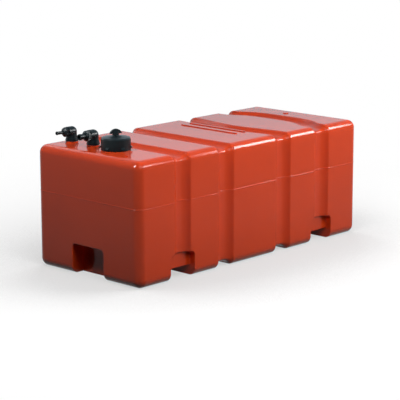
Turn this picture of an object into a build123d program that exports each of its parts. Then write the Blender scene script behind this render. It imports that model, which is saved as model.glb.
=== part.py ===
from build123d import *
import math
import os
from dataclasses import dataclass

# Outboard fuel tank: a one-piece moulded tank with a vented screw cap, a fuel
# pick-up with a swivelling elbow and a breather with a swivelling elbow.
# Millimetres. +X runs along the tank, away from the end that carries the cap
# and the fittings. +Z is up. The origin is the middle of the tank's underside.

# ---- moulded tank: outer form ----
TANK_LENGTH = 800.0
TANK_WIDTH = 350.0
TANK_HEIGHT = 300.0
EDGE_RADIUS = 20.0
WALL = 5.0

# ---- grooves that run right round the tank, across its length ----
MIDDLE_PANEL = 157.0
END_PANEL = 117.0
GROOVE_WIDTH = 54.0
GROOVE_FLOOR = 34.0
GROOVE_DEPTH = 12.5
GROOVE_FOOT_RADIUS = 24.0
CREST_RADIUS = 6.0
MIDDLE_BOW = -18.0
MIDDLE_BOW_SHOULDER = -6.0
FAR_BOW = 31.0
FAR_BOW_SHOULDER = 19.0
BOW_SHOULDER_SHARE = 2 / 7
RING_BEND = 2.0
CUT_OVER = 3.0
LINE_TOLERANCE = 0.1

# ---- strap recesses at the feet of the outer grooves ----
STRAP_WIDTH = 80.0
STRAP_RECESS_DEPTH = 16.0
STRAP_RECESS_HEIGHT = 62.0
STRAP_CHANNEL_HEIGHT = 27.0
STRAP_CORNER = 10.0
STRAP_RIM_RADIUS = 1.5

# ---- hand recesses at the foot of each end ----
HAND_WIDTH = 106.0
HAND_HEIGHT = 74.0
HAND_DEPTH = 37.0
HAND_CORNER = 9.0
HAND_RIM_RADIUS = 3.0

# ---- low ribs and pips on top ----
RIB_LENGTH = 190.0
RIB_WIDTH = 6.0
RIB_HEIGHT = 2.0
RIB_ROOT = 1.0
RIB_X = 31.0
RIB_GAP = 31.0
RIB_SHIFT = 10.0
PIP_RADIUS = 4.0
PIP_HEIGHT = 2.5
PIP_INSET = 38.0
PIP_SHIFT = -97.0
BLOW_PIN_RADIUS = 7.0
BLOW_PIN_HEIGHT = 2.0
BLOW_PIN_INSET = 50.0
BLOW_PIN_SHIFT = 27.0

# ---- row of fittings across the near end ----
ROW_INSET = 80.0
DRAW_INSET = 39.5
DRAW_TO_BREATHER = 75.0
BREATHER_TO_CAP = 78.5
SEAT_RADIUS = 15.6
SEAT_HEIGHT = 2.0
SEAT_DEPTH = 6.0
SEAT_CHAMFER = 0.6

# ---- filler neck ----
NECK_RADIUS = 30.4
NECK_BORE_RADIUS = 25.5
NECK_HEIGHT = 23.4
NECK_LIP = 1.0

# ---- filler cap ----
CAP_RADIUS = 35.4
CAP_SKIRT_WALL = 3.0
CAP_GAP = 0.8
CAP_TOP_WALL = 3.1
CAP_RIM_RADIUS = 2.8
CAP_RISE = 4.3
CAP_LAND_RADIUS = 9.0
CAP_HOLLOW_RADIUS = 24.0
CAP_HOLLOW_RISE = 2.4
CAP_BOSS_RADIUS = 7.0
LUG_COUNT = 6
LUG_REACH = 4.2
LUG_WIDTH = 8.0
LUG_FOOT = 4.2
LUG_RISE = 5.0
LUG_LIP = 0.9
LUG_ROOT = 1.5
LUG_TURN = 13.0

# ---- seals of the cap ----
CAP_GASKET_THICKNESS = 2.5
SLIP_WASHER_THICKNESS = 0.8
GASKET_CLEARANCE = 0.4
GASKET_INNER_RADIUS = 24.8

# ---- vent screw in the cap ----
SCREW_RADIUS = 3.0
SCREW_CLEARANCE = 0.08
SCREW_BARB = 0.9
SCREW_BARB_LENGTH = 2.0
SCREW_TRAVEL = 3.0
SCREW_STOP_GAP = 0.4
VENT_SEAL_RADIUS = 7.0
VENT_SEAL_THICKNESS = 1.2
VENT_SEAL_CLEARANCE = 0.2
KNOB_FOOT_RADIUS = 8.0
KNOB_HEIGHT = 14.6
WING_SPAN = 31.0
WING_RISE = 11.0
WING_THICKNESS = 6.5
WING_EDGE = 1.2
KNOB_TURN = -25.0

# ---- seat, gland and swivel, the same on both fittings ----
FLANGE_GASKET = 1.5
FLANGE_GASKET_INSET = 0.6
FLANGE_RADIUS = 16.0
FLANGE_THICKNESS = 4.0
FLANGE_CHAMFER = 0.8
HUB_FOOT_RADIUS = 15.0
HUB_TOP_RADIUS = 14.6
HUB_RISE = 3.0
FLARE_STEP = 1.0
FLARE_RISE = 9.0
STEM_RADIUS = 10.0
STEM_CLEARANCE = 0.2
STEM_LENGTH = 16.0
SWIVEL_RADIUS = 7.0
SWIVEL_CLEARANCE = 0.08
SWIVEL_LENGTH = 8.5
SWIVEL_FLOOR_GAP = 0.5
O_RING_THICKNESS = 1.5
O_RING_GROOVE_WIDTH = 2.0
O_RING_SQUEEZE_GAP = 0.05
O_RING_DROP = 4.5
AXIS_RISE = 23.5
NUT_GAP = 0.6
NUT_CHAMFER = 1.4
THREAD_GAP = 0.2
SHANK_STEP = 0.4
SHANK_SHOW = 0.6

# ---- fuel pick-up inside the tank ----
TUBE_RADIUS = 4.0
TUBE_WALL = 1.0
TUBE_FIT = 0.05
TUBE_GRIP = 10.0
TUBE_CLEAR_OF_FLOOR = 14.0
STRAINER_RADIUS = 8.5
STRAINER_WALL = 1.2
STRAINER_HEIGHT = 26.0
STRAINER_CLEAR_OF_FLOOR = 8.0
STRAINER_HEAD = 4.0
STRAINER_SLOTS = 8
STRAINER_SLOT_WIDTH = 3.0
STRAINER_SLOT_HEIGHT = 14.0


@dataclass
class Fitting:
    """Sizes in which the two elbow fittings differ."""

    body_radius: float
    head_length: float
    bore_radius: float
    stub_radius: float
    stub_length: float
    washer_thickness: float
    collar_thickness: float
    nut_radius: float
    nut_sides: int
    nut_length: float
    nose_radius: float
    nose_length: float
    tail_radius: float
    tail_bore_radius: float
    tail_reach: float
    bead_radius: float
    bead_length: float
    turn: float


DRAW = Fitting(
    body_radius=12.4,
    head_length=14.0,
    bore_radius=3.0,
    stub_radius=8.2,
    stub_length=19.0,
    washer_thickness=1.2,
    collar_thickness=2.6,
    nut_radius=12.0,
    nut_sides=6,
    nut_length=9.4,
    nose_radius=9.6,
    nose_length=3.6,
    tail_radius=3.9,
    tail_bore_radius=2.6,
    tail_reach=46.5,
    bead_radius=4.4,
    bead_length=3.5,
    turn=-5.0,
)

BREATHER = Fitting(
    body_radius=13.4,
    head_length=14.6,
    bore_radius=4.0,
    stub_radius=9.6,
    stub_length=19.6,
    washer_thickness=1.2,
    collar_thickness=2.8,
    nut_radius=12.4,
    nut_sides=0,
    nut_length=9.6,
    nose_radius=10.6,
    nose_length=4.0,
    tail_radius=6.8,
    tail_bore_radius=4.9,
    tail_reach=45.5,
    bead_radius=7.6,
    bead_length=5.0,
    turn=0.0,
)

# ---- places worked out from the sizes above ----
INNER_GROOVE_X = (MIDDLE_PANEL + GROOVE_WIDTH) / 2
OUTER_GROOVE_X = (TANK_LENGTH - GROOVE_WIDTH) / 2 - END_PANEL
BOW_SHOULDER_Y = TANK_WIDTH * BOW_SHOULDER_SHARE
GROOVES = (
    (-OUTER_GROOVE_X, 0.0, 0.0),
    (-INNER_GROOVE_X, 0.0, 0.0),
    (INNER_GROOVE_X, MIDDLE_BOW, MIDDLE_BOW_SHOULDER),
    (OUTER_GROOVE_X, FAR_BOW, FAR_BOW_SHOULDER),
)
ROW_X = ROW_INSET - TANK_LENGTH / 2
DRAW_PLACE = (ROW_X, TANK_WIDTH / 2 - DRAW_INSET)
BREATHER_PLACE = (ROW_X, DRAW_PLACE[1] - DRAW_TO_BREATHER)
CAP_PLACE = (ROW_X, BREATHER_PLACE[1] - BREATHER_TO_CAP)
SEAT_TOP = TANK_HEIGHT + SEAT_HEIGHT
NECK_TOP = TANK_HEIGHT + NECK_HEIGHT
CAP_FOOT = TANK_HEIGHT + CAP_GAP
SLIP_WASHER_FOOT = NECK_TOP + CAP_GASKET_THICKNESS
CAP_CEILING = SLIP_WASHER_FOOT + SLIP_WASHER_THICKNESS
CAP_RIM_TOP = CAP_CEILING + CAP_TOP_WALL
CAP_LAND = CAP_RIM_TOP + CAP_RISE
CAP_INNER_RADIUS = CAP_RADIUS - CAP_SKIRT_WALL
KNOB_FOOT = CAP_LAND + VENT_SEAL_THICKNESS
SCREW_LENGTH = KNOB_FOOT - CAP_CEILING + SCREW_TRAVEL + SCREW_STOP_GAP + SCREW_BARB_LENGTH
FLANGE_FOOT = FLANGE_GASKET
FLANGE_TOP = FLANGE_FOOT + FLANGE_THICKNESS
HUB_TOP = FLANGE_TOP + HUB_RISE
STEM_FOOT = FLANGE_FOOT - STEM_LENGTH
TUBE_TOP = STEM_FOOT + TUBE_GRIP


def at(place, z):
    """A location over a place on the tank's plan, at height z."""
    return Pos(place[0], place[1], z)


def disc(radius, height, z=0.0):
    """An upright cylinder that stands on height z."""
    return Pos(0, 0, z) * Cylinder(radius, height, align=(Align.CENTER, Align.CENTER, Align.MIN))


def ring(outer, inner, height, z=0.0):
    """A flat ring that lies on height z."""
    return disc(outer, height, z) - disc(inner, height, z)


def lathe(points):
    """The solid that a closed outline of (radius, height) points turns about Z."""
    outline = make_face(Polyline(*points, close=True))
    return revolve(Plane.XZ * outline, Axis.Z)


def along_arm(shape):
    """Lays an upright shape down, so that its top points along -X at the swivel's axis height."""
    return Pos(0, 0, AXIS_RISE) * Rot(0, -90, 0) * shape


# ------------------------------------------------------------- tank shell

def section_wire(centre_x, bow, shoulder, radius):
    """The tank's cross-section as a closed path, bowed along X by bow on its top."""
    half = TANK_WIDTH / 2
    near = half - radius
    top = TANK_HEIGHT - radius
    cut = radius * (1 - math.sqrt(0.5))
    start = (centre_x, 0, 0)
    if bow:
        points = (
            (centre_x, -near, TANK_HEIGHT),
            (centre_x + shoulder, -BOW_SHOULDER_Y, TANK_HEIGHT),
            (centre_x + bow, 0, TANK_HEIGHT),
            (centre_x + shoulder, BOW_SHOULDER_Y, TANK_HEIGHT),
            (centre_x, near, TANK_HEIGHT),
        )
        across = Spline(*points, tangents=((0, 1, 0), (0, 1, 0)))
    else:
        across = Line((centre_x, -near, TANK_HEIGHT), (centre_x, near, TANK_HEIGHT))
    runs = [
        Line(start, (centre_x, -near, 0)),
        ThreePointArc((centre_x, -near, 0), (centre_x, -half + cut, cut), (centre_x, -half, radius)),
        Line((centre_x, -half, radius), (centre_x, -half, top)),
        ThreePointArc(
            (centre_x, -half, top), (centre_x, -half + cut, TANK_HEIGHT - cut), (centre_x, -near, TANK_HEIGHT)
        ),
        across,
        ThreePointArc(
            (centre_x, near, TANK_HEIGHT), (centre_x, half - cut, TANK_HEIGHT - cut), (centre_x, half, top)
        ),
        Line((centre_x, half, top), (centre_x, half, radius)),
        ThreePointArc((centre_x, half, radius), (centre_x, half - cut, cut), (centre_x, near, 0)),
        Line((centre_x, near, 0), start),
    ]
    return Wire([run.edge() for run in runs])


def groove_cutter(groove, inset):
    """The ring that one groove takes away, with its walls moved out by inset."""
    centre_x, bow, shoulder = groove
    slope = (GROOVE_WIDTH - GROOVE_FLOOR) / (2 * GROOVE_DEPTH)
    spread = inset * math.hypot(1, slope)
    deep = GROOVE_DEPTH + inset
    outer = GROOVE_WIDTH / 2 + slope * CUT_OVER + spread
    inner = GROOVE_WIDTH / 2 - slope * deep + spread
    profile = make_face(Polyline((-outer, -CUT_OVER), (outer, -CUT_OVER), (inner, deep), (-inner, deep), close=True))
    profile = fillet(profile.vertices().group_by(Axis.Y)[-1], GROOVE_FOOT_RADIUS + inset)
    start = Plane(origin=(centre_x, 0, 0), x_dir=(1, 0, 0), z_dir=(0, -1, 0))
    corner = max(EDGE_RADIUS, deep + RING_BEND)
    return sweep(start * profile, path=section_wire(centre_x, bow, shoulder, corner))


def rounded_block(inset):
    """The tank's outer block, or the block that a wall of thickness inset leaves inside it."""
    block = Pos(0, 0, TANK_HEIGHT / 2) * Box(
        TANK_LENGTH - 2 * inset, TANK_WIDTH - 2 * inset, TANK_HEIGHT - 2 * inset
    )
    return fillet(block.edges(), max(EDGE_RADIUS - inset, RING_BEND))


def arched_door(width, height, corner):
    """A doorway outline that stands on its foot, rounded at its two top corners."""
    door = Pos(0, height / 2) * Rectangle(width, height)
    return fillet(door.vertices().group_by(Axis.Y)[-1], corner)


def strap_cutters(inset):
    """The channels under the tank for hold-down straps, and their recesses up both long sides."""
    cutters = []
    wide = STRAP_WIDTH + 2 * inset
    for centre_x in (-OUTER_GROOVE_X, OUTER_GROOVE_X):
        channel = Box(wide, TANK_WIDTH, STRAP_CHANNEL_HEIGHT + inset, align=(Align.CENTER, Align.CENTER, Align.MIN))
        cutters.append(Pos(centre_x, 0, 0) * channel)
        door = arched_door(wide, STRAP_RECESS_HEIGHT + inset, STRAP_CORNER + inset)
        for side in (-1, 1):
            front = Plane(origin=(centre_x, side * TANK_WIDTH / 2, 0), x_dir=(-side, 0, 0), z_dir=(0, side, 0))
            cutters.append(extrude(front * door, amount=-(STRAP_RECESS_DEPTH + inset)))
    return cutters


def hand_cutters(inset):
    """The hand recess at the foot of each end."""
    door = arched_door(HAND_WIDTH + 2 * inset, HAND_HEIGHT + inset, HAND_CORNER + inset)
    cutters = []
    for end in (-1, 1):
        front = Plane(origin=(end * TANK_LENGTH / 2, 0, 0), x_dir=(0, end, 0), z_dir=(end, 0, 0))
        cutters.append(extrude(front * door, amount=-(HAND_DEPTH + inset)))
    return cutters


def on_lines(points, lines):
    """Whether all the points share one of the given places along the tank."""
    return any(all(abs(point.X - line) < LINE_TOLERANCE for point in points) for line in lines)


def crest_edges(block):
    """The lines where the groove walls meet the outside of the tank."""
    lines = [groove[0] + side * GROOVE_WIDTH / 2 for groove in GROOVES for side in (-1, 1)]
    return block.edges().filter_by(lambda edge: on_lines((edge @ 0, edge @ 1), lines))


def strap_rim_edges(block):
    """The long edges of the strap channels and the upright edges of their recesses."""
    lines = [end * OUTER_GROOVE_X + side * STRAP_WIDTH / 2 for end in (-1, 1) for side in (-1, 1)]
    skin = TANK_WIDTH / 2 - EDGE_RADIUS - LINE_TOLERANCE

    def on_rim(edge):
        ends = (edge @ 0, edge @ 1)
        below = all(end.Z < EDGE_RADIUS + LINE_TOLERANCE for end in ends)
        upright = abs(ends[0].Y - ends[1].Y) < LINE_TOLERANCE
        outside = all(abs(end.Y) > skin or end.Z < LINE_TOLERANCE for end in ends)
        return on_lines(ends, lines) and outside and (below or upright)

    return block.edges().filter_by(on_rim)


def hand_rim_edges(block):
    """The outline of each hand recess on the tank's end."""
    skin = TANK_LENGTH / 2 - EDGE_RADIUS - LINE_TOLERANCE

    def on_rim(edge):
        ends = (edge @ 0, edge @ 1)
        inside_door = all(
            abs(end.Y) < HAND_WIDTH / 2 + LINE_TOLERANCE and end.Z < HAND_HEIGHT + LINE_TOLERANCE for end in ends
        )
        on_door = all(
            abs(end.Y) > HAND_WIDTH / 2 - HAND_CORNER - LINE_TOLERANCE or end.Z > HAND_HEIGHT - LINE_TOLERANCE
            for end in ends
        )
        return inside_door and on_door and all(abs(end.X) > skin for end in ends)

    return block.edges().filter_by(on_rim)


def tank_block(inset):
    """The tank as one solid: outside with inset 0, or its hollow with inset WALL."""
    block = rounded_block(inset)
    for groove in GROOVES:
        block -= groove_cutter(groove, inset)
    if not inset:
        block = fillet(crest_edges(block), CREST_RADIUS)
    block -= strap_cutters(inset)
    block -= hand_cutters(inset)
    if not inset:
        block = fillet(strap_rim_edges(block), STRAP_RIM_RADIUS)
        block = fillet(hand_rim_edges(block), HAND_RIM_RADIUS)
    return block


def top_ribs():
    """Two low ribs across the middle panel, with rounded ends."""
    bar = SlotOverall(RIB_LENGTH, RIB_WIDTH, rotation=90)
    rib = extrude(bar, amount=RIB_HEIGHT + RIB_ROOT)
    return [
        Pos(RIB_X + step * RIB_GAP, RIB_SHIFT, TANK_HEIGHT - RIB_ROOT) * rib
        for step in range(2)
    ]


def top_pips():
    """The small moulded pip by the cap and the blow-pin mark at the far end."""
    pip = disc(PIP_RADIUS, PIP_HEIGHT + RIB_ROOT, -RIB_ROOT)
    mark = disc(BLOW_PIN_RADIUS, BLOW_PIN_HEIGHT + RIB_ROOT, -RIB_ROOT)
    return [
        Pos(PIP_INSET - TANK_LENGTH / 2, PIP_SHIFT, TANK_HEIGHT) * pip,
        Pos(TANK_LENGTH / 2 - BLOW_PIN_INSET, BLOW_PIN_SHIFT, TANK_HEIGHT) * mark,
    ]


def fitting_seat():
    """The thickened seat that carries a fitting, above and below the tank's top wall."""
    low = -WALL - SEAT_DEPTH
    seat = disc(SEAT_RADIUS, SEAT_HEIGHT - low, low)
    return chamfer(seat.edges().sort_by(Axis.Z)[-1], SEAT_CHAMFER)


def filler_neck():
    """The neck that carries the cap."""
    neck = disc(NECK_RADIUS, NECK_HEIGHT + WALL / 2, -WALL / 2)
    return chamfer(neck.edges().sort_by(Axis.Z)[-1], NECK_LIP)


def tank_shell():
    shell = tank_block(0.0) - tank_block(WALL)
    shell += top_ribs() + top_pips()
    shell += at(CAP_PLACE, TANK_HEIGHT) * filler_neck()
    shell -= at(CAP_PLACE, TANK_HEIGHT) * disc(NECK_BORE_RADIUS, NECK_HEIGHT + 2 * WALL, -2 * WALL)
    hole = disc(STEM_RADIUS + STEM_CLEARANCE, 2 * (SEAT_DEPTH + WALL + SEAT_HEIGHT), -2 * (SEAT_DEPTH + WALL))
    for place in (BREATHER_PLACE, DRAW_PLACE):
        shell += at(place, TANK_HEIGHT) * fitting_seat()
        shell -= at(place, TANK_HEIGHT) * hole
    return shell


# ------------------------------------------------------------- filler cap

def cap_lug():
    """One grip lug low on the cap's skirt: flat below, sloped above."""
    root = CAP_RADIUS - LUG_ROOT
    outline = Polyline(
        (root, LUG_FOOT),
        (CAP_RADIUS + LUG_REACH, LUG_FOOT),
        (CAP_RADIUS + LUG_REACH, LUG_FOOT + LUG_LIP),
        (CAP_RADIUS, LUG_FOOT + LUG_RISE),
        (root, LUG_FOOT + LUG_RISE),
        close=True,
    )
    return extrude(Plane.XZ * make_face(outline), amount=LUG_WIDTH / 2, both=True)


def filler_cap():
    rim = CAP_RIM_TOP - CAP_FOOT
    ceiling = CAP_CEILING - CAP_FOOT
    land = CAP_LAND - CAP_FOOT
    shoulder = CAP_RADIUS - CAP_RIM_RADIUS
    hollow = ceiling + CAP_HOLLOW_RISE
    cap = lathe(
        [
            (0, ceiling),
            (CAP_BOSS_RADIUS, ceiling),
            (CAP_BOSS_RADIUS + CAP_HOLLOW_RISE, hollow),
            (CAP_LAND_RADIUS + CAP_HOLLOW_RISE, hollow),
            (CAP_HOLLOW_RADIUS, ceiling),
            (CAP_INNER_RADIUS, ceiling),
            (CAP_INNER_RADIUS, 0),
            (CAP_RADIUS, 0),
            (CAP_RADIUS, rim - CAP_RIM_RADIUS),
            (shoulder, rim),
            (CAP_LAND_RADIUS, land),
            (0, land),
        ]
    )
    cap += [Rot(0, 0, LUG_TURN + turn * 360 / LUG_COUNT) * cap_lug() for turn in range(LUG_COUNT)]
    cap -= disc(SCREW_RADIUS + SCREW_CLEARANCE, 2 * land)
    return at(CAP_PLACE, CAP_FOOT) * cap


def cap_gasket():
    outer = CAP_INNER_RADIUS - GASKET_CLEARANCE
    return at(CAP_PLACE, NECK_TOP) * ring(outer, GASKET_INNER_RADIUS, CAP_GASKET_THICKNESS)


def cap_slip_washer():
    outer = CAP_INNER_RADIUS - GASKET_CLEARANCE
    return at(CAP_PLACE, SLIP_WASHER_FOOT) * ring(outer, GASKET_INNER_RADIUS, SLIP_WASHER_THICKNESS)


def cap_vent_seal():
    inner = SCREW_RADIUS + VENT_SEAL_CLEARANCE
    return at(CAP_PLACE, CAP_LAND) * ring(VENT_SEAL_RADIUS, inner, VENT_SEAL_THICKNESS)


def knob_wing():
    """The half-round wing of the vent screw, as a plate on edge."""
    half = WING_SPAN / 2
    low = KNOB_HEIGHT - WING_RISE
    arch = ThreePointArc((-half, low), (0, KNOB_HEIGHT), (half, low))
    plate = make_face([arch, Line((half, low), (-half, low))])
    wing = extrude(Plane.XZ * plate, amount=WING_THICKNESS / 2, both=True)
    return fillet(wing.edges().filter_by(GeomType.CIRCLE), WING_EDGE)


def cap_vent_screw():
    """Wing knob, screw and snap barb in one piece."""
    foot = KNOB_HEIGHT - WING_RISE / 2
    knob = disc(KNOB_FOOT_RADIUS, foot) + knob_wing()
    barb_foot = -SCREW_LENGTH
    barb_top = barb_foot + SCREW_BARB_LENGTH
    screw = lathe(
        [
            (0, 0),
            (SCREW_RADIUS, 0),
            (SCREW_RADIUS, barb_top),
            (SCREW_RADIUS + SCREW_BARB, barb_top),
            (SCREW_RADIUS, barb_foot),
            (0, barb_foot),
        ]
    )
    return at(CAP_PLACE, KNOB_FOOT) * Rot(0, 0, KNOB_TURN) * (knob + screw)


# ------------------------------------------------------------- elbow fittings
# Each fitting is made about its own upright axis, with z = 0 on its seat's top
# face and its hose tail along -X, and is then turned and put in its place.

def gland(fitting, tube_socket):
    """The flanged gland that screws into the seat and carries the elbow."""
    body = lathe(
        [
            (0, STEM_FOOT),
            (STEM_RADIUS, STEM_FOOT),
            (STEM_RADIUS, FLANGE_FOOT),
            (FLANGE_RADIUS, FLANGE_FOOT),
            (FLANGE_RADIUS, FLANGE_TOP - FLANGE_CHAMFER),
            (FLANGE_RADIUS - FLANGE_CHAMFER, FLANGE_TOP),
            (HUB_FOOT_RADIUS, FLANGE_TOP),
            (HUB_TOP_RADIUS, HUB_TOP),
            (0, HUB_TOP),
        ]
    )
    socket_foot = HUB_TOP - SWIVEL_LENGTH - SWIVEL_FLOOR_GAP
    body -= disc(SWIVEL_RADIUS + SWIVEL_CLEARANCE, HUB_TOP - socket_foot, socket_foot)
    body -= disc(fitting.bore_radius, socket_foot - STEM_FOOT, STEM_FOOT)
    if tube_socket:
        body -= disc(TUBE_RADIUS + TUBE_FIT, TUBE_GRIP, STEM_FOOT)
    return body


def gland_gasket():
    inner = STEM_RADIUS + STEM_CLEARANCE
    return ring(FLANGE_RADIUS - FLANGE_GASKET_INSET, inner, FLANGE_GASKET)


def elbow(fitting):
    """The elbow: a plain swivel spigot below, a threaded stub for the union nut in front."""
    upright = lathe(
        [
            (0, HUB_TOP),
            (fitting.body_radius + FLARE_STEP, HUB_TOP),
            (fitting.body_radius, HUB_TOP + FLARE_RISE),
            (fitting.body_radius, AXIS_RISE),
            (0, AXIS_RISE),
        ]
    )
    spigot_foot = HUB_TOP - SWIVEL_LENGTH
    spigot = disc(SWIVEL_RADIUS, SWIVEL_LENGTH, spigot_foot)
    head = Pos(0, 0, AXIS_RISE) * Sphere(fitting.body_radius)
    arm = along_arm(disc(fitting.body_radius, fitting.head_length))
    stub = along_arm(disc(fitting.stub_radius, fitting.stub_length))
    body = upright + spigot + head + arm + stub
    body -= disc(fitting.bore_radius, AXIS_RISE - spigot_foot, spigot_foot)
    body -= along_arm(disc(fitting.bore_radius, fitting.stub_length))
    groove_z = HUB_TOP - O_RING_DROP - O_RING_GROOVE_WIDTH / 2
    body -= ring(2 * SWIVEL_RADIUS, SWIVEL_RADIUS - O_RING_THICKNESS, O_RING_GROOVE_WIDTH, groove_z)
    return body


def swivel_o_ring():
    section = O_RING_THICKNESS / 2
    around = SWIVEL_RADIUS - O_RING_THICKNESS + section + O_RING_SQUEEZE_GAP
    return Pos(0, 0, HUB_TOP - O_RING_DROP) * Torus(around, section)


def nut_blank(fitting):
    """The outside of a union nut: round or six-sided, with a tapered nose."""
    start = fitting.head_length + NUT_GAP
    end = start + fitting.nut_length
    turned = lathe(
        [
            (0, start),
            (fitting.nut_radius - NUT_CHAMFER, start),
            (fitting.nut_radius, start + NUT_CHAMFER),
            (fitting.nut_radius, end - NUT_CHAMFER),
            (fitting.nose_radius, end),
            (fitting.tail_radius + SHANK_STEP + THREAD_GAP + NUT_CHAMFER, end + fitting.nose_length),
            (0, end + fitting.nose_length),
        ]
    )
    if fitting.nut_sides:
        flats = RegularPolygon(fitting.nut_radius, fitting.nut_sides)
        turned &= Pos(0, 0, start) * extrude(flats, amount=fitting.nut_length + fitting.nose_length)
    return turned


def union_nut(fitting):
    chamber_end = fitting.stub_length + fitting.washer_thickness + fitting.collar_thickness
    nut = nut_blank(fitting)
    nut -= disc(fitting.stub_radius + THREAD_GAP, chamber_end)
    nut -= disc(fitting.tail_radius + SHANK_STEP + THREAD_GAP, 2 * fitting.tail_reach)
    return along_arm(nut)


def hose_tail(fitting):
    """The hose tail: a collar that the union nut traps, a thicker shank, a tube and an end bead."""
    foot = fitting.stub_length + fitting.washer_thickness
    shoulder = foot + fitting.collar_thickness
    shank_radius = fitting.tail_radius + SHANK_STEP
    shank_end = fitting.head_length + NUT_GAP + fitting.nut_length + fitting.nose_length + SHANK_SHOW
    bead_foot = fitting.tail_reach - fitting.bead_length
    bead_rise = fitting.bead_radius - fitting.tail_radius
    tail = lathe(
        [
            (0, foot),
            (fitting.stub_radius, foot),
            (fitting.stub_radius, shoulder),
            (shank_radius, shoulder),
            (shank_radius, shank_end),
            (fitting.tail_radius, shank_end),
            (fitting.tail_radius, bead_foot),
            (fitting.bead_radius, bead_foot + bead_rise),
            (fitting.bead_radius, fitting.tail_reach - 2 * bead_rise),
            (fitting.tail_radius, fitting.tail_reach),
            (0, fitting.tail_reach),
        ]
    )
    return along_arm(tail - disc(fitting.tail_bore_radius, 2 * fitting.tail_reach))


def tail_washer(fitting):
    return along_arm(
        ring(fitting.stub_radius, fitting.bore_radius, fitting.washer_thickness, fitting.stub_length)
    )


def pickup_tube():
    """The tube from the draw gland down to the strainer near the tank's floor."""
    foot = WALL + TUBE_CLEAR_OF_FLOOR - SEAT_TOP
    return ring(TUBE_RADIUS, TUBE_RADIUS - TUBE_WALL, TUBE_TOP - foot, foot)


def pickup_strainer():
    """A slotted cup round the foot of the pick-up tube."""
    foot = WALL + STRAINER_CLEAR_OF_FLOOR - SEAT_TOP
    cup = disc(STRAINER_RADIUS, STRAINER_HEIGHT, foot)
    room = STRAINER_HEIGHT - STRAINER_HEAD - STRAINER_WALL
    cup -= disc(STRAINER_RADIUS - STRAINER_WALL, room, foot + STRAINER_WALL)
    cup -= disc(TUBE_RADIUS + TUBE_FIT, STRAINER_HEIGHT, foot + STRAINER_WALL)
    slot = Box(2 * STRAINER_RADIUS, STRAINER_SLOT_WIDTH, STRAINER_SLOT_HEIGHT)
    slot_z = foot + STRAINER_WALL + room / 2
    for step in range(STRAINER_SLOTS // 2):
        cup -= Pos(0, 0, slot_z) * Rot(0, 0, step * 360 / STRAINER_SLOTS) * slot
    return cup


def fitting_pieces(prefix, fitting, place, tube_socket):
    """All pieces of one fitting, in their places on the tank."""
    fixed = at(place, SEAT_TOP)
    turned = fixed * Rot(0, 0, fitting.turn)
    return {
        prefix + "_gland": fixed * gland(fitting, tube_socket),
        prefix + "_gland_gasket": fixed * gland_gasket(),
        prefix + "_elbow": turned * elbow(fitting),
        prefix + "_o_ring": turned * swivel_o_ring(),
        prefix + "_union_nut": turned * union_nut(fitting),
        prefix + "_hose_tail": turned * hose_tail(fitting),
        prefix + "_tail_washer": turned * tail_washer(fitting),
    }


def all_pieces():
    pieces = {
        "tank_shell": tank_shell(),
        "filler_cap": filler_cap(),
        "cap_gasket": cap_gasket(),
        "cap_slip_washer": cap_slip_washer(),
        "cap_vent_seal": cap_vent_seal(),
        "cap_vent_screw": cap_vent_screw(),
        "pickup_tube": at(DRAW_PLACE, SEAT_TOP) * pickup_tube(),
        "pickup_strainer": at(DRAW_PLACE, SEAT_TOP) * pickup_strainer(),
    }
    pieces.update(fitting_pieces("draw", DRAW, DRAW_PLACE, True))
    pieces.update(fitting_pieces("breather", BREATHER, BREATHER_PLACE, False))
    return pieces


def main():
    os.makedirs("parts", exist_ok=True)
    for name, solid in all_pieces().items():
        export_step(solid, os.path.join("parts", name + ".step"))


main()
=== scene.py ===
"""Looks of the outboard fuel tank: materials, moulding seam, screw threads, nut grips and studio."""

import math

import bmesh
import bpy
from bpy.props import FloatProperty, FloatVectorProperty, IntProperty, PointerProperty
from mathutils import Matrix, Vector


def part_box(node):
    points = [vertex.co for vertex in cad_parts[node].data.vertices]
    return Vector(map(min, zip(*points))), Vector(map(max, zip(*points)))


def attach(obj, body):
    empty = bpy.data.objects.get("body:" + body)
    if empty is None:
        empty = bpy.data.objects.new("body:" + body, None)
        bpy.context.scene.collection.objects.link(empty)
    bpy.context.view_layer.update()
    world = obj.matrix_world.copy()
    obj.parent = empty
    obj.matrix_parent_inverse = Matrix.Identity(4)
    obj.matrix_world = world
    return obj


bl_info = {
    "name": "Outboard Fuel Tank Looks",
    "version": (1, 0, 0),
    "blender": (4, 5, 0),
    "location": "View3D > Sidebar > Fuel Tank",
    "description": "Dresses the outboard fuel tank and sets up its studio",
    "category": "Object",
}

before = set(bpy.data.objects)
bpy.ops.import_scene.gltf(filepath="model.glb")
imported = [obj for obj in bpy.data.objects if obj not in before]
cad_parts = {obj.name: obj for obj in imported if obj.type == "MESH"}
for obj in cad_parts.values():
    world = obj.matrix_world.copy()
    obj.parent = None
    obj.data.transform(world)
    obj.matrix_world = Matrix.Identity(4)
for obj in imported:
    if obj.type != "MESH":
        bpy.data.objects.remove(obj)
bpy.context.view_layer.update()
GASKET_LOW, GASKET_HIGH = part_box("cap_gasket")
CAP_AXIS = (GASKET_LOW + GASKET_HIGH) / 2
CAP_LOW, CAP_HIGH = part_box("filler_cap")
CAP_REACH = (CAP_HIGH - CAP_LOW).y / 2
TANK_MIDDLE = Vector((0.0, 0.0, 0.15))

# Heights of the bands of wall that the threads are fitted to, and how far below the rim they start.
NECK_BAND = 0.015
CAP_BAND = 0.004
THREAD_START = 0.0035

# How deep a grip rib is sunk into its nut, so that no gap shows.
RIB_SINK = 0.0002

# Points nearer than WELD are one point, and a cut nearer to a point than CUT_TOLERANCE goes through it.
WELD = 1e-6
CUT_TOLERANCE = 1e-7
LEAST_SEAM_POINTS = 20

# Share of the shadow's reach at which the floor starts to turn plain white.
SHADOW_FADE_START = 0.6

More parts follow.
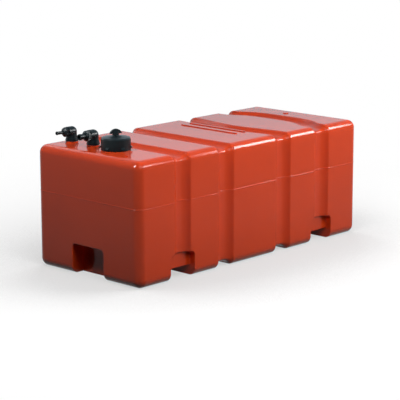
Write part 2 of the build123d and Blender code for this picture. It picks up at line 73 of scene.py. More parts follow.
CAMERA_AZIMUTH = -46.776
CAMERA_ELEVATION = 12.073
CAMERA_ROLL = -0.09
CAMERA_DISTANCE = 4.157
CAMERA_LENS = 148.25
CAMERA_SHIFT = (-0.00833, -0.02553)


# ------------------------------------------------------------------ settings


class ShellLook(bpy.types.PropertyGroup):
    colour: FloatVectorProperty(
        name="Shell colour", description="Colour of the moulded tank", subtype="COLOR", size=3,
        default=(0.62, 0.048, 0.006), min=0.0, max=1.0,
    )
    roughness: FloatProperty(
        name="Roughness", description="How far the gloss spreads on the moulded tank",
        subtype="FACTOR", default=0.12, min=0.0, max=1.0,
    )
    ripple: FloatProperty(
        name="Ripple depth", description="Depth of the slow waves in the moulded skin", unit="LENGTH",
        default=0.00022, min=0.0, max=0.002,
    )


class SeamLook(bpy.types.PropertyGroup):
    height: FloatProperty(
        name="Seam height", description="Height of the mould's parting line above the floor", unit="LENGTH",
        default=0.188, min=0.05, max=0.28,
    )
    width: FloatProperty(
        name="Seam width", description="Width of the raised parting line", unit="LENGTH",
        default=0.0022, min=0.0002, max=0.01,
    )
    rise: FloatProperty(
        name="Seam rise", description="How far the parting line stands out of the skin", unit="LENGTH",
        default=0.0006, min=0.0001, max=0.005,
    )


class ThreadLook(bpy.types.PropertyGroup):
    lead: FloatProperty(
        name="Thread lead", description="Rise of the neck's thread in one turn", unit="LENGTH",
        default=0.005, min=0.001, max=0.02,
    )
    turns: FloatProperty(
        name="Thread turns", description="Turns of thread on the filler neck",
        default=2.4, min=0.5, max=6.0,
    )
    depth: FloatProperty(
        name="Thread depth", description="How far the thread stands out of its wall", unit="LENGTH",
        default=0.0009, min=0.0002, max=0.003,
    )


class GripLook(bpy.types.PropertyGroup):
    count: IntProperty(
        name="Grip ribs", description="Ribs round the breather's union nut", default=26, min=6, max=80,
    )
    rise: FloatProperty(
        name="Rib rise", description="How far a grip rib stands out of the nut", unit="LENGTH",
        default=0.0005, min=0.0001, max=0.002,
    )
    length: FloatProperty(
        name="Rib length", description="Length of a grip rib along the nut", unit="LENGTH",
        default=0.0078, min=0.001, max=0.02,
    )
    inset: FloatProperty(
        name="Rib inset", description="How far the ribs stay back from the nut's open end", unit="LENGTH",
        default=0.0009, min=0.0, max=0.01,
    )


class FittingLook(bpy.types.PropertyGroup):
    colour: FloatVectorProperty(
        name="Fitting colour", description="Colour of the cap and the elbow fittings", subtype="COLOR",
        size=3, default=(0.002, 0.007, 0.009), min=0.0, max=1.0,
    )
    roughness: FloatProperty(
        name="Roughness", description="How far the gloss spreads on the fittings", subtype="FACTOR",
        default=0.32, min=0.0, max=1.0,
    )


class StudioLook(bpy.types.PropertyGroup):
    far_power: FloatProperty(
        name="Far softbox", description="Power of the wide softbox over the far end", subtype="POWER",
        default=6.0, min=0.0,
    )
    front_power: FloatProperty(
        name="Front softbox", description="Power of the small softbox before the long side", subtype="POWER",
        default=5.6, min=0.0,
    )
    near_power: FloatProperty(
        name="Near softbox", description="Power of the softbox over the near corner", subtype="POWER",
        default=5.6, min=0.0,
    )
    left_power: FloatProperty(
        name="Left softbox", description="Power of the small softbox before the end with the cap",
        subtype="POWER", default=4.2, min=0.0,
    )
    back_power: FloatProperty(
        name="Back softbox", description="Power of the softbox behind the tank", subtype="POWER",
        default=3.2, min=0.0,
    )
    strip_power: FloatProperty(
        name="Strip softbox", description="Power of the broad softbox that only shows in the gloss",
        subtype="POWER", default=34.0, min=0.0,
    )
    spark_power: FloatProperty(
        name="Spark softbox", description="Power of the right-hand softbox that only shows in the gloss",
        subtype="POWER", default=67.0, min=0.0,
    )
    glint_power: FloatProperty(
        name="Glint softbox", description="Power of the left-hand softbox that only shows in the gloss",
        subtype="POWER", default=210.0, min=0.0,
    )
    top_power: FloatProperty(
        name="Top softbox", description="Power of the softbox high over the tank", subtype="POWER",
        default=1.8, min=0.0,
    )
    sky_colour: FloatVectorProperty(
        name="Sky colour", description="Colour of the white surroundings that the gloss shows",
        subtype="COLOR", size=3, default=(0.78, 0.91, 1.0), min=0.0, max=1.0,
    )
    ambient: FloatProperty(
        name="Ambient light", description="Strength of the even light from all round",
        default=0.0, min=0.0, max=2.0,
    )
    floor_size: FloatProperty(
        name="Floor size", description="Length of a side of the floor", unit="LENGTH", default=60.0, min=2.0,
    )
    floor_shade: FloatProperty(
        name="Floor shade", description="How much of the lamps' light the floor shows, shadows and all",
        subtype="FACTOR", default=0.20, min=0.0, max=1.0,
    )
    floor_bounce: FloatProperty(
        name="Floor bounce", description="How much of the lamps' light the floor throws back on the tank",
        subtype="FACTOR", default=0.02, min=0.0, max=1.0,
    )
    floor_lift: FloatProperty(
        name="Floor lift", description="White that the camera sees in the floor besides its lit colour",
        default=0.92, min=0.0, max=1.0,
    )
    # The contact settings shape a painted contact shadow: ambient occlusion darkens the floor's camera-seen
    # glow near the tank.
    contact_depth: FloatProperty(
        name="Contact shadow", description="How dark the soft shadow is next to the tank",
        subtype="FACTOR", default=0.36, min=0.0, max=1.0,
    )
    contact_core: FloatProperty(
        name="Contact core", description="Share of open sky at which the contact shadow is darkest",
        subtype="FACTOR", default=0.72, min=0.0, max=1.0,
    )
    contact_edge: FloatProperty(
        name="Contact edge", description="Share of open sky at which the contact shadow ends",
        subtype="FACTOR", default=0.90, min=0.0, max=1.0,
    )
    contact_reach: FloatProperty(
        name="Contact reach", description="How far a surface may be from the floor to shade it",
        unit="LENGTH", default=0.90, min=0.05,
    )
    shadow_reach: FloatProperty(
        name="Shadow reach", description="Distance from the middle at which the floor turns plain white",
        unit="LENGTH", default=1.4, min=0.2,
    )


SETTINGS = {
    "tank_shell_look": ShellLook,
    "tank_seam_look": SeamLook,
    "tank_thread_look": ThreadLook,
    "tank_grip_look": GripLook,
    "tank_fitting_look": FittingLook,
    "tank_studio_look": StudioLook,
}


# ------------------------------------------------------------------ shader groups


def group_socket(tree, name, in_out, kind, default=None):
    """Adds a named socket to a node group."""
    socket = tree.interface.new_socket(name=name, in_out=in_out, socket_type=kind)
    if default is not None:
        socket.default_value = default
    return socket


def noise(tree, place, scale, detail, roughness=0.5):
    """A noise texture at a place. Its scale is a number or a socket."""
    texture = tree.nodes.new("ShaderNodeTexNoise")
    texture.inputs["Detail"].default_value = detail
    texture.inputs["Roughness"].default_value = roughness
    tree.links.new(place, texture.inputs["Vector"])
    if isinstance(scale, float):
        texture.inputs["Scale"].default_value = scale
    else:
        tree.links.new(scale, texture.inputs["Scale"])
    return texture.outputs["Fac"]


def moulded_skin_group():
    """Colour drift, gloss drift and a height for the slow waves and fine pimples of moulded plastic."""
    name = "Moulded skin"
    if name in bpy.data.node_groups:
        return bpy.data.node_groups[name]
    tree = bpy.data.node_groups.new(name, "ShaderNodeTree")
    group_socket(tree, "Colour", "INPUT", "NodeSocketColor", (0.5, 0.5, 0.5, 1.0))
    group_socket(tree, "Drift", "INPUT", "NodeSocketFloat", 0.05)
    group_socket(tree, "Roughness", "INPUT", "NodeSocketFloat", 0.3)
    group_socket(tree, "Roughness drift", "INPUT", "NodeSocketFloat", 0.08)
    group_socket(tree, "Wave scale", "INPUT", "NodeSocketFloat", 40.0)
    group_socket(tree, "Pimple scale", "INPUT", "NodeSocketFloat", 900.0)
    group_socket(tree, "Pimple share", "INPUT", "NodeSocketFloat", 0.15)
    group_socket(tree, "Colour", "OUTPUT", "NodeSocketColor")
    group_socket(tree, "Roughness", "OUTPUT", "NodeSocketFloat")
    group_socket(tree, "Height", "OUTPUT", "NodeSocketFloat")
    nodes, link = tree.nodes, tree.links.new
    given = nodes.new("NodeGroupInput")
    made = nodes.new("NodeGroupOutput")
    place = nodes.new("ShaderNodeTexCoord").outputs["Object"]

    drift = noise(tree, place, 7.0, 4.0)
    spread = nodes.new("ShaderNodeMapRange")
    spread.inputs["From Min"].default_value = 0.3
    spread.inputs["From Max"].default_value = 0.7
    spread.inputs["To Min"].default_value = -1.0
    spread.inputs["To Max"].default_value = 1.0
    link(drift, spread.inputs["Value"])
    amount = nodes.new("ShaderNodeMath")
    amount.operation = "MULTIPLY_ADD"
    amount.inputs[2].default_value = 1.0
    link(spread.outputs["Result"], amount.inputs[0])
    link(given.outputs["Drift"], amount.inputs[1])
    tint = nodes.new("ShaderNodeVectorMath")
    tint.operation = "SCALE"
    link(given.outputs["Colour"], tint.inputs[0])
    link(amount.outputs[0], tint.inputs["Scale"])
    link(tint.outputs["Vector"], made.inputs["Colour"])

    smear = noise(tree, place, 22.0, 6.0, 0.62)
    centred = nodes.new("ShaderNodeMath")
    centred.operation = "SUBTRACT"
    centred.inputs[1].default_value = 0.5
    link(smear, centred.inputs[0])
    rough = nodes.new("ShaderNodeMath")
    rough.operation = "MULTIPLY_ADD"
    link(centred.outputs[0], rough.inputs[0])
    link(given.outputs["Roughness drift"], rough.inputs[1])
    link(given.outputs["Roughness"], rough.inputs[2])
    link(rough.outputs[0], made.inputs["Roughness"])

    waves = noise(tree, place, given.outputs["Wave scale"], 1.5)
    pimples = noise(tree, place, given.outputs["Pimple scale"], 2.0)
    both = nodes.new("ShaderNodeMath")
    both.operation = "MULTIPLY_ADD"
    link(pimples, both.inputs[0])
    link(given.outputs["Pimple share"], both.inputs[1])
    link(waves, both.inputs[2])
    link(both.outputs[0], made.inputs["Height"])
    return tree


def skin_material(name, colour, roughness, drift, gloss_drift, waves, pimples, share, depth, ior):
    """A plastic or rubber finish: the moulded skin group on a Principled shader."""
    material = bpy.data.materials.new(name)
    material.use_nodes = True
    nodes, link = material.node_tree.nodes, material.node_tree.links.new
    shader = nodes["Principled BSDF"]
    shader.inputs["IOR"].default_value = ior
    skin = nodes.new("ShaderNodeGroup")
    skin.node_tree = moulded_skin_group()
    skin.inputs["Colour"].default_value = (*colour, 1.0)
    skin.inputs["Drift"].default_value = drift
    skin.inputs["Roughness"].default_value = roughness
    skin.inputs["Roughness drift"].default_value = gloss_drift
    skin.inputs["Wave scale"].default_value = waves
    skin.inputs["Pimple scale"].default_value = pimples
    skin.inputs["Pimple share"].default_value = share
    bump = nodes.new("ShaderNodeBump")
    bump.inputs["Distance"].default_value = depth
    link(skin.outputs["Height"], bump.inputs["Height"])
    link(skin.outputs["Colour"], shader.inputs["Base Color"])
    link(skin.outputs["Roughness"], shader.inputs["Roughness"])
    link(bump.outputs["Normal"], shader.inputs["Normal"])
    return material


def shell_material():
    look = bpy.context.scene.tank_shell_look
    name = "Moulded orange shell"
    if name in bpy.data.materials:
        return bpy.data.materials[name]
    return skin_material(
        name, tuple(look.colour), look.roughness, drift=0.035, gloss_drift=0.06, waves=26.0,
        pimples=700.0, share=0.10, depth=look.ripple, ior=1.25,
    )


def fitting_material():
    look = bpy.context.scene.tank_fitting_look
    name = "Black fitting plastic"
    if name in bpy.data.materials:
        return bpy.data.materials[name]
    return skin_material(
        name, tuple(look.colour), look.roughness, drift=0.12, gloss_drift=0.22, waves=160.0,
        pimples=2600.0, share=0.30, depth=0.00008, ior=1.24,
    )


def dress(node, material):
    """Gives a CAD node one material in every slot."""
    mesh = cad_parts[node].data
    mesh.materials.clear()
    mesh.materials.append(material)


# ------------------------------------------------------------------ mesh helpers


def new_piece(name, mesh, material, body):
    """A finished mesh as a piece that rides on a body."""
    piece = bpy.data.objects.new(name, mesh)
    bpy.context.scene.collection.objects.link(piece)
    mesh.materials.clear()
    mesh.materials.append(material)
    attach(piece, body)
    return piece


def bake_tree(source, tree, values, name):
    """Runs a Geometry Nodes tree on an object and returns the plain mesh that it makes."""
    modifier = source.modifiers.new(tree.name, "NODES")
    modifier.node_group = tree
    for socket in tree.interface.items_tree:
        if socket.item_type == "SOCKET" and socket.in_out == "INPUT" and socket.name in values:
            modifier[socket.identifier] = values[socket.name]
    bpy.context.view_layer.update()
    ready = source.evaluated_get(bpy.context.evaluated_depsgraph_get())
    mesh = bpy.data.meshes.new_from_object(ready)
    mesh.name = name
    source.modifiers.remove(modifier)
    old = source.data
    bpy.data.objects.remove(source)
    if old.users == 0 and isinstance(old, bpy.types.Mesh):
        bpy.data.meshes.remove(old)
    if len(mesh.polygons) == 0:
        raise RuntimeError(name + " came out empty")
    tidy = bmesh.new()
    tidy.from_mesh(mesh)
    bmesh.ops.recalc_face_normals(tidy, faces=tidy.faces)
    tidy.to_mesh(mesh)
    tidy.free()
    return mesh


def empty_source(name):
    """An object with an empty mesh for a tree that makes its own geometry."""
    source = bpy.data.objects.new(name, bpy.data.meshes.new(name))
    bpy.context.scene.collection.objects.link(source)
    return source


# ------------------------------------------------------------------ Geometry Nodes trees


def tree_with(name, sockets):
    """A new Geometry Nodes tree with named inputs, and its input and output nodes."""
    tree = bpy.data.node_groups.new(name, "GeometryNodeTree")
    group_socket(tree, "Geometry", "INPUT", "NodeSocketGeometry")
    for label, kind, default in sockets:
        group_socket(tree, label, "INPUT", kind, default)
    group_socket(tree, "Geometry", "OUTPUT", "NodeSocketGeometry")
    return tree, tree.nodes.new("NodeGroupInput"), tree.nodes.new("NodeGroupOutput")


def finish_tree(tree, mesh, given, made):
    """Ends a tree: one material on its mesh, and every instance made real."""
    paint = tree.nodes.new("GeometryNodeSetMaterial")
    tree.links.new(mesh, paint.inputs["Geometry"])
    tree.links.new(given.outputs["Material"], paint.inputs["Material"])
    whole = tree.nodes.new("GeometryNodeRealizeInstances")
    tree.links.new(paint.outputs["Geometry"], whole.inputs["Geometry"])
    tree.links.new(whole.outputs["Geometry"], made.inputs["Geometry"])
    return tree


def bead_tree():
    """A bead of a flattened round section along the edges that it is given."""
    tree, given, made = tree_with(
        "Bead along a line",
        [
            ("Width", "NodeSocketFloat", 0.002),
            ("Rise", "NodeSocketFloat", 0.001),
            ("Material", "NodeSocketMaterial", None),
        ],
    )
    nodes, link = tree.nodes, tree.links.new
    path = nodes.new("GeometryNodeMeshToCurve")
    link(given.outputs["Geometry"], path.inputs["Mesh"])
    upright = nodes.new("GeometryNodeSetCurveNormal")
    upright.mode = "Z_UP"
    link(path.outputs["Curve"], upright.inputs["Curve"])
    section = nodes.new("GeometryNodeCurvePrimitiveCircle")
    section.inputs["Resolution"].default_value = 8
    section.inputs["Radius"].default_value = 1.0
    shape = nodes.new("ShaderNodeCombineXYZ")
    half = nodes.new("ShaderNodeMath")
    half.operation = "MULTIPLY"
    half.inputs[1].default_value = 0.5
    link(given.outputs["Width"], half.inputs[0])
    link(given.outputs["Rise"], shape.inputs["X"])
    link(half.outputs[0], shape.inputs["Y"])
    shape.inputs["Z"].default_value = 1.0
    squeeze = nodes.new("GeometryNodeTransform")
    link(section.outputs["Curve"], squeeze.inputs["Geometry"])
    link(shape.outputs["Vector"], squeeze.inputs["Scale"])
    sweep = nodes.new("GeometryNodeCurveToMesh")
    link(upright.outputs["Curve"], sweep.inputs["Curve"])
    link(squeeze.outputs["Geometry"], sweep.inputs["Profile Curve"])
    return finish_tree(tree, sweep.outputs["Mesh"], given, made)


def thread_tree():
    """A screw thread: a rounded ridge swept along a right-hand helix about the upright axis."""
    tree, given, made = tree_with(
        "Screw thread",
        [
            ("Radius", "NodeSocketFloat", 0.03),
            ("Lead", "NodeSocketFloat", 0.005),
            ("Turns", "NodeSocketFloat", 2.0),
            ("Depth", "NodeSocketFloat", 0.001),
            ("Foot", "NodeSocketVector", (0.0, 0.0, 0.0)),
            ("Material", "NodeSocketMaterial", None),
        ],
    )
    nodes, link = tree.nodes, tree.links.new
    helix = nodes.new("GeometryNodeCurveSpiral")
    helix.inputs["Resolution"].default_value = 72
    helix.inputs["Reverse"].default_value = True
    link(given.outputs["Turns"], helix.inputs["Rotations"])
    link(given.outputs["Radius"], helix.inputs["Start Radius"])
    link(given.outputs["Radius"], helix.inputs["End Radius"])
    rise = nodes.new("ShaderNodeMath")
    rise.operation = "MULTIPLY"
    link(given.outputs["Lead"], rise.inputs[0])
    link(given.outputs["Turns"], rise.inputs[1])
    link(rise.outputs[0], helix.inputs["Height"])
    upright = nodes.new("GeometryNodeSetCurveNormal")
    upright.mode = "Z_UP"
    link(helix.outputs["Curve"], upright.inputs["Curve"])
    ridge = nodes.new("GeometryNodeCurvePrimitiveCircle")
    ridge.inputs["Resolution"].default_value = 6
    link(given.outputs["Depth"], ridge.inputs["Radius"])
    sweep = nodes.new("GeometryNodeCurveToMesh")
    sweep.inputs["Fill Caps"].default_value = True
    link(upright.outputs["Curve"], sweep.inputs["Curve"])
    link(ridge.outputs["Curve"], sweep.inputs["Profile Curve"])
    place = nodes.new("GeometryNodeTransform")
    link(sweep.outputs["Mesh"], place.inputs["Geometry"])
    link(given.outputs["Foot"], place.inputs["Translation"])
    return finish_tree(tree, place.outputs["Geometry"], given, made)


def ring_of_ribs_tree():
    """Small round bars, stood side by side round an axis along X."""
    tree, given, made = tree_with(
        "Ring of grip ribs",
        [
            ("Count", "NodeSocketInt", 24),
            ("Radius", "NodeSocketFloat", 0.011),
            ("Length", "NodeSocketFloat", 0.006),
            ("Rib radius", "NodeSocketFloat", 0.0006),
            ("Centre", "NodeSocketVector", (0.0, 0.0, 0.0)),
            ("Material", "NodeSocketMaterial", None),
        ],
    )
    nodes, link = tree.nodes, tree.links.new
    around = nodes.new("GeometryNodeCurvePrimitiveCircle")
    link(given.outputs["Count"], around.inputs["Resolution"])
    link(given.outputs["Radius"], around.inputs["Radius"])
    spots = nodes.new("GeometryNodeCurveToPoints")
    spots.mode = "EVALUATED"
    link(around.outputs["Curve"], spots.inputs["Curve"])
    rib = nodes.new("GeometryNodeMeshCylinder")
    rib.inputs["Vertices"].default_value = 8
    link(given.outputs["Rib radius"], rib.inputs["Radius"])
    link(given.outputs["Length"], rib.inputs["Depth"])
    ribs = nodes.new("GeometryNodeInstanceOnPoints")
    link(spots.outputs["Points"], ribs.inputs["Points"])
    link(rib.outputs["Mesh"], ribs.inputs["Instance"])
    place = nodes.new("GeometryNodeTransform")
    place.inputs["Rotation"].default_value = (0.0, math.radians(90), 0.0)
    link(ribs.outputs["Instances"], place.inputs["Geometry"])
    link(given.outputs["Centre"], place.inputs["Translation"])
    return finish_tree(tree, place.outputs["Geometry"], given, made)


# ------------------------------------------------------------------ operators


# Each softbox: name, place, the point that it faces, its width and height, and whether it lights the tank.
# One that doesn't light it only shows in the gloss.
SOFTBOXES = (
    ("Far", (0.95, -0.70, 0.80), TANK_MIDDLE, (0.50, 0.40), True),
    ("Front", (0.46, -0.95, 0.85), TANK_MIDDLE, (0.16, 0.16), True),
    ("Near", (-0.50, -0.85, 0.85), TANK_MIDDLE, (0.50, 0.50), True),
    ("Left", (-0.85, 0.10, 0.95), TANK_MIDDLE, (0.20, 0.20), True),
    ("Back", (0.00, 1.47, 1.18), TANK_MIDDLE, (0.70, 0.70), True),
    ("Top", (-0.42, -0.73, 1.70), TANK_MIDDLE, (0.70, 0.70), True),
    ("Strip", (1.32, -0.92, 1.04), (1.32, -0.175, 0.30), (0.65, 0.60), False),
    ("Spark", (1.38, -2.23, 1.57), TANK_MIDDLE, (0.50, 0.50), False),
    ("Glint", (-2.63, 0.86, 2.02), TANK_MIDDLE, (0.90, 0.90), False),
)


class TANK_OT_studio(bpy.types.Operator):
    """Builds the pale floor, the softboxes and the camera"""

    bl_idname = "fuel_tank.studio"
    bl_label = "Studio"

    def execute(self, context):
        look = context.scene.tank_studio_look
        self.make_floor(look)
        self.light_world(look)
        for name, place, aim, size, lights in SOFTBOXES:
            power = getattr(look, name.lower() + "_power")
            self.hang_softbox(name + " softbox", place, aim, size, power, lights)
        self.place_camera(context)
        context.scene.view_settings.view_transform = "Standard"
        return {"FINISHED"}

    def make_floor(self, look):
        mesh = bpy.data.meshes.new("Floor")
        half = look.floor_size / 2
        mesh.from_pydata(
            [(-half, -half, 0), (half, -half, 0), (half, half, 0), (-half, half, 0)], [], [(0, 1, 2, 3)]
        )
        floor = bpy.data.objects.new("Floor", mesh)
        bpy.context.scene.collection.objects.link(floor)
        mesh.materials.append(self.floor_material(look))

    def floor_material(self, look):
        """White that keeps the tank's lamp shadow near it, adds a painted contact shadow by darkening its
        camera-seen glow where ambient occlusion finds the tank near, and turns even further out.
        """
        material = bpy.data.materials.new("Pale floor")
        material.use_nodes = True
        nodes, link = material.node_tree.nodes, material.node_tree.links.new
        nodes.clear()
        out = nodes.new("ShaderNodeOutputMaterial")
        matt = nodes.new("ShaderNodeBsdfDiffuse")
        matt.inputs["Color"].default_value = (*[look.floor_shade] * 3, 1.0)
        bounce = nodes.new("ShaderNodeBsdfDiffuse")
        bounce.inputs["Color"].default_value = (*[look.floor_bounce] * 3, 1.0)
        # Painted contact shadow: ambient occlusion darkens the floor's camera-seen glow near the tank, on
        # top of the lamps' real shadow in the matt share.
        open_sky = nodes.new("ShaderNodeAmbientOcclusion")
        open_sky.samples = 4
        open_sky.inputs["Distance"].default_value = look.contact_reach
        painted_contact_shadow = nodes.new("ShaderNodeMapRange")
        painted_contact_shadow.interpolation_type = "SMOOTHSTEP"
        painted_contact_shadow.inputs["From Min"].default_value = look.contact_core
        painted_contact_shadow.inputs["From Max"].default_value = look.contact_edge
        painted_contact_shadow.inputs["To Min"].default_value = look.floor_lift - look.contact_depth
        painted_contact_shadow.inputs["To Max"].default_value = look.floor_lift
        link(open_sky.outputs["AO"], painted_contact_shadow.inputs["Value"])
        lift = nodes.new("ShaderNodeEmission")
        link(painted_contact_shadow.outputs["Result"], lift.inputs["Strength"])
        near = nodes.new("ShaderNodeAddShader")
        link(matt.outputs[0], near.inputs[0])
        link(lift.outputs[0], near.inputs[1])
        far = nodes.new("ShaderNodeEmission")
        far.inputs["Strength"].default_value = 1.0

        place = nodes.new("ShaderNodeTexCoord")
        reach = nodes.new("ShaderNodeVectorMath")
        reach.operation = "LENGTH"
        link(place.outputs["Object"], reach.inputs[0])
        fade = nodes.new("ShaderNodeMapRange")
        fade.interpolation_type = "SMOOTHSTEP"
        fade.inputs["From Min"].default_value = look.shadow_reach * SHADOW_FADE_START
        fade.inputs["From Max"].default_value = look.shadow_reach
        link(reach.outputs["Value"], fade.inputs["Value"])
        seen = nodes.new("ShaderNodeMixShader")
        link(fade.outputs["Result"], seen.inputs["Fac"])
        link(near.outputs[0], seen.inputs[1])
        link(far.outputs[0], seen.inputs[2])

        choice = nodes.new("ShaderNodeMixShader")
        link(self.direct_ray(material.node_tree), choice.inputs["Fac"])
        link(bounce.outputs[0], choice.inputs[1])
        link(seen.outputs[0], choice.inputs[2])
        link(choice.outputs[0], out.inputs["Surface"])
        return material

    def direct_ray(self, tree):
        """A socket that is 1 for rays from the camera, from a reflection or through a clear piece."""
        path = tree.nodes.new("ShaderNodeLightPath")
        chosen = path.outputs["Is Camera Ray"]
        for name in ("Is Glossy Ray", "Is Transmission Ray"):
            either = tree.nodes.new("ShaderNodeMath")
            either.operation = "MAXIMUM"
            tree.links.new(chosen, either.inputs[0])
            tree.links.new(path.outputs[name], either.inputs[1])
            chosen = either.outputs[0]
        return chosen

    def light_world(self, look):
        """White surroundings for the camera and the gloss, and the even light."""
        world = bpy.data.worlds.new("Studio world")
        bpy.context.scene.world = world
        world.use_nodes = True
        nodes, link = world.node_tree.nodes, world.node_tree.links.new
        nodes.clear()
        out = nodes.new("ShaderNodeOutputWorld")
        lit = nodes.new("ShaderNodeBackground")
        lit.inputs["Strength"].default_value = look.ambient
        seen = nodes.new("ShaderNodeBackground")
        seen.inputs["Strength"].default_value = 1.0
        path = nodes.new("ShaderNodeLightPath")
        tint = nodes.new("ShaderNodeMix")
        tint.data_type = "RGBA"
        tint.inputs["A"].default_value = (*look.sky_colour, 1.0)
        tint.inputs["B"].default_value = (1.0, 1.0, 1.0, 1.0)
        link(path.outputs["Is Camera Ray"], tint.inputs["Factor"])
        link(tint.outputs["Result"], seen.inputs["Color"])
        mix = nodes.new("ShaderNodeMixShader")
        link(self.direct_ray(world.node_tree), mix.inputs["Fac"])
        link(lit.outputs[0], mix.inputs[1])
        link(seen.outputs[0], mix.inputs[2])
        link(mix.outputs[0], out.inputs["Surface"])

    def hang_softbox(self, name, place, aim, size, power, lights):
        """Hangs a softbox that faces a point."""
        lamp = bpy.data.lights.new(name, "AREA")
        lamp.shape = "RECTANGLE"
        lamp.size, lamp.size_y = size
        lamp.energy = power
        box = bpy.data.objects.new(name, lamp)
        bpy.context.scene.collection.objects.link(box)
        box.visible_diffuse = lights
        box.location = place
        box.rotation_euler = (Vector(place) - Vector(aim)).to_track_quat("Z", "Y").to_euler()

    def place_camera(self, context):
        azimuth = math.radians(CAMERA_AZIMUTH)
        elevation = math.radians(CAMERA_ELEVATION)
        back = Vector(
            (
                math.sin(azimuth) * math.cos(elevation),
                -math.cos(azimuth) * math.cos(elevation),
                math.sin(elevation),
            )
        )
        lens = bpy.data.cameras.new("Camera")
        lens.sensor_width = 36.0
        lens.lens = CAMERA_LENS
        lens.shift_x, lens.shift_y = CAMERA_SHIFT
        lens.clip_end = 200.0
        camera = bpy.data.objects.new("Camera", lens)
        context.scene.collection.objects.link(camera)
        roll = Matrix.Rotation(math.radians(CAMERA_ROLL), 3, "Z")
        turn = back.to_track_quat("Z", "Y").to_matrix() @ roll
        camera.matrix_world = Matrix.Translation(TANK_MIDDLE + back * CAMERA_DISTANCE) @ turn.to_4x4()
        context.scene.camera = camera


class TANK_OT_shell(bpy.types.Operator):
    """Finishes the moulded tank in glossy orange plastic"""

    bl_idname = "fuel_tank.shell"
    bl_label = "Tank shell"

    def execute(self, context):
        dress("tank_shell", shell_material())
        return {"FINISHED"}


class TANK_OT_seam(bpy.types.Operator):
    """Lays the raised parting line round the tank at the height of the mould's joint"""

    bl_idname = "fuel_tank.seam"
    bl_label = "Parting line"

    def execute(self, context):
        look = context.scene.tank_seam_look
        cut = bmesh.new()
        cut.from_mesh(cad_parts["tank_shell"].data)
        bmesh.ops.remove_doubles(cut, verts=cut.verts, dist=WELD)
        everything = cut.verts[:] + cut.edges[:] + cut.faces[:]
        found = bmesh.ops.bisect_plane(
            cut, geom=everything, dist=CUT_TOLERANCE, plane_co=(0, 0, look.height), plane_no=(0, 0, 1),
            clear_inner=True, clear_outer=True,
        )["geom_cut"]
        loop = self.outer_loop([item for item in found if isinstance(item, bmesh.types.BMEdge)])
        line = bpy.data.meshes.new("seam line")
        line.from_pydata(loop, [(i, (i + 1) % len(loop)) for i in range(len(loop))], [])
        cut.free()
        source = bpy.data.objects.new("seam source", line)
        context.scene.collection.objects.link(source)
        material = shell_material()
        values = {"Width": look.width, "Rise": look.rise, "Material": material}
        mesh = bake_tree(source, bead_tree(), values, "parting_line")
        mesh.shade_smooth()
        new_piece("parting_line", mesh, material, "tank")
        return {"FINISHED"}

    def outer_loop(self, edges):
        """The outermost closed line among the cut edges, as points in order."""
        left, best = dict.fromkeys(edges), []
        while left:
            edge = next(iter(left))
            del left[edge]
            ordered = [edge.verts[0], edge.verts[1]]
            while True:
                onward = [e for e in ordered[-1].link_edges if e in left]
                if not onward:
                    break
                del left[onward[0]]
                ordered.append(onward[0].other_vert(ordered[-1]))
            reach = max(v.co.x for v in ordered)
            if not best or reach > max(p[0] for p in best):
                best = [tuple(v.co) for v in ordered]
        if len(best) < LEAST_SEAM_POINTS:
            raise RuntimeError("the parting line found no wall to follow")
        closed = (Vector(best[0]) - Vector(best[-1])).length < WELD
        return best[:-1] if closed else best


class TANK_OT_fittings(bpy.types.Operator):
    """Finishes the cap, its vent screw and both elbow fittings in black plastic"""

    bl_idname = "fuel_tank.fittings"
    bl_label = "Cap and elbow fittings"

    def execute(self, context):
        black = fitting_material()
        for node in ("filler_cap", "cap_vent_screw"):
            dress(node, black)
        for prefix in ("draw_", "breather_"):
            for part in ("gland", "elbow", "union_nut", "hose_tail"):
                dress(prefix + part, black)
        return {"FINISHED"}


class TANK_OT_seals(bpy.types.Operator):
    """Finishes the gaskets, washers and O-rings"""

    bl_idname = "fuel_tank.seals"
    bl_label = "Seals"

    def execute(self, context):
        rubber = skin_material(
            "Seal rubber", (0.012, 0.012, 0.012), 0.72, drift=0.15, gloss_drift=0.2, waves=240.0,
            pimples=3000.0, share=0.5, depth=0.00006, ior=1.45,
        )
        slip = skin_material(
            "Slip washer plastic", (0.70, 0.70, 0.66), 0.48, drift=0.05, gloss_drift=0.1, waves=120.0,
            pimples=2000.0, share=0.2, depth=0.00003, ior=1.45,
        )
        dress("cap_slip_washer", slip)
        for node in ("cap_gasket", "cap_vent_seal"):
            dress(node, rubber)
        for prefix in ("draw_", "breather_"):
            for part in ("gland_gasket", "o_ring", "tail_washer"):
                dress(prefix + part, rubber)
        return {"FINISHED"}


class TANK_OT_pickup(bpy.types.Operator):
    """Finishes the pick-up tube and its strainer"""

    bl_idname = "fuel_tank.pickup"
    bl_label = "Fuel pick-up"

    def execute(self, context):
        natural = skin_material(
            "Natural plastic", (0.66, 0.65, 0.58), 0.42, drift=0.06, gloss_drift=0.12, waves=90.0,
            pimples=1800.0, share=0.2, depth=0.00005, ior=1.5,
        )
        for node in ("pickup_tube", "pickup_strainer"):
            dress(node, natural)
        return {"FINISHED"}


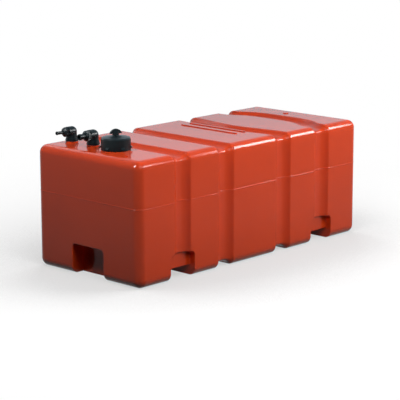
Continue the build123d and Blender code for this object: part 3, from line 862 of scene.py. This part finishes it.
class TANK_OT_threads(bpy.types.Operator):
    """Lays the screw threads round the filler neck and inside the cap"""

    bl_idname = "fuel_tank.threads"
    bl_label = "Neck and cap threads"

    def execute(self, context):
        look = context.scene.tank_thread_look
        tree = thread_tree()
        rim = GASKET_LOW.z
        top = rim - THREAD_START
        neck = max(self.wall_radii("tank_shell", rim - NECK_BAND, rim))
        material = shell_material()
        mesh = self.thread(look, tree, "neck_thread", neck, top, look.turns, material)
        new_piece("neck_thread", mesh, material, "tank")
        # The cap's thread runs half a lead below the neck's, and stays clear of the gasket as the cap rises.
        cap = min(self.wall_radii("filler_cap", CAP_LOW.z, CAP_LOW.z + CAP_BAND))
        material = fitting_material()
        mesh = self.thread(look, tree, "cap_thread", cap, top - look.lead, look.turns - 0.5, material)
        new_piece("cap_thread", mesh, material, "cap")
        return {"FINISHED"}

    def wall_radii(self, node, low, high):
        """How far a node's points between two heights lie from the cap's axis, up to the cap's reach."""
        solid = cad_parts[node]
        points = [solid.matrix_world @ vertex.co for vertex in solid.data.vertices]
        radii = [(point.xy - CAP_AXIS.xy).length for point in points if low <= point.z <= high]
        return [radius for radius in radii if radius < CAP_REACH]

    def thread(self, look, tree, name, radius, top, turns, material):
        """The mesh of a thread on a round wall, which ends at a top."""
        values = {
            "Radius": radius,
            "Lead": look.lead,
            "Turns": turns,
            "Depth": look.depth,
            "Foot": (CAP_AXIS.x, CAP_AXIS.y, top - look.lead * turns),
            "Material": material,
        }
        mesh = bake_tree(empty_source(name + " source"), tree, values, name)
        mesh.shade_smooth()
        return mesh


class TANK_OT_grips(bpy.types.Operator):
    """Sets the grip ribs round the breather's union nut"""

    bl_idname = "fuel_tank.grips"
    bl_label = "Union nut grips"

    def execute(self, context):
        look = context.scene.tank_grip_look
        low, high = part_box("breather_union_nut")
        radius = (high.z - low.z) / 2
        axis = (low + high) / 2
        material = fitting_material()
        values = {
            "Count": look.count,
            "Radius": radius - RIB_SINK,
            "Length": look.length,
            "Rib radius": look.rise + RIB_SINK,
            "Centre": (high.x - look.inset - look.length / 2, axis.y, axis.z),
            "Material": material,
        }
        mesh = bake_tree(empty_source("grip source"), ring_of_ribs_tree(), values, "breather_nut_grips")
        new_piece("breather_nut_grips", mesh, material, "breather_swivel")
        return {"FINISHED"}


class TANK_PT_looks(bpy.types.Panel):
    bl_label = "Outboard fuel tank"
    bl_idname = "TANK_PT_looks"
    bl_space_type = "VIEW_3D"
    bl_region_type = "UI"
    bl_category = "Fuel Tank"

    def draw(self, context):
        for operator in OPERATORS:
            self.layout.operator(operator.bl_idname)
        for name, group in SETTINGS.items():
            box = self.layout.box()
            look = getattr(context.scene, name)
            for prop in group.__annotations__:
                box.prop(look, prop)


OPERATORS = (
    TANK_OT_studio,
    TANK_OT_shell,
    TANK_OT_seam,
    TANK_OT_fittings,
    TANK_OT_seals,
    TANK_OT_pickup,
    TANK_OT_threads,
    TANK_OT_grips,
)
CLASSES = (*SETTINGS.values(), *OPERATORS, TANK_PT_looks)


def register():
    for cls in CLASSES:
        bpy.utils.register_class(cls)
    for name, group in SETTINGS.items():
        setattr(bpy.types.Scene, name, PointerProperty(type=group))


def unregister():
    for name in SETTINGS:
        delattr(bpy.types.Scene, name)
    for cls in reversed(CLASSES):
        bpy.utils.unregister_class(cls)


def main():
    register()
    bpy.ops.fuel_tank.studio()
    bpy.ops.fuel_tank.shell()
    bpy.ops.fuel_tank.seam()
    bpy.ops.fuel_tank.fittings()
    bpy.ops.fuel_tank.seals()
    bpy.ops.fuel_tank.pickup()
    bpy.ops.fuel_tank.threads()
    bpy.ops.fuel_tank.grips()


if __name__ == "__main__":
    main()
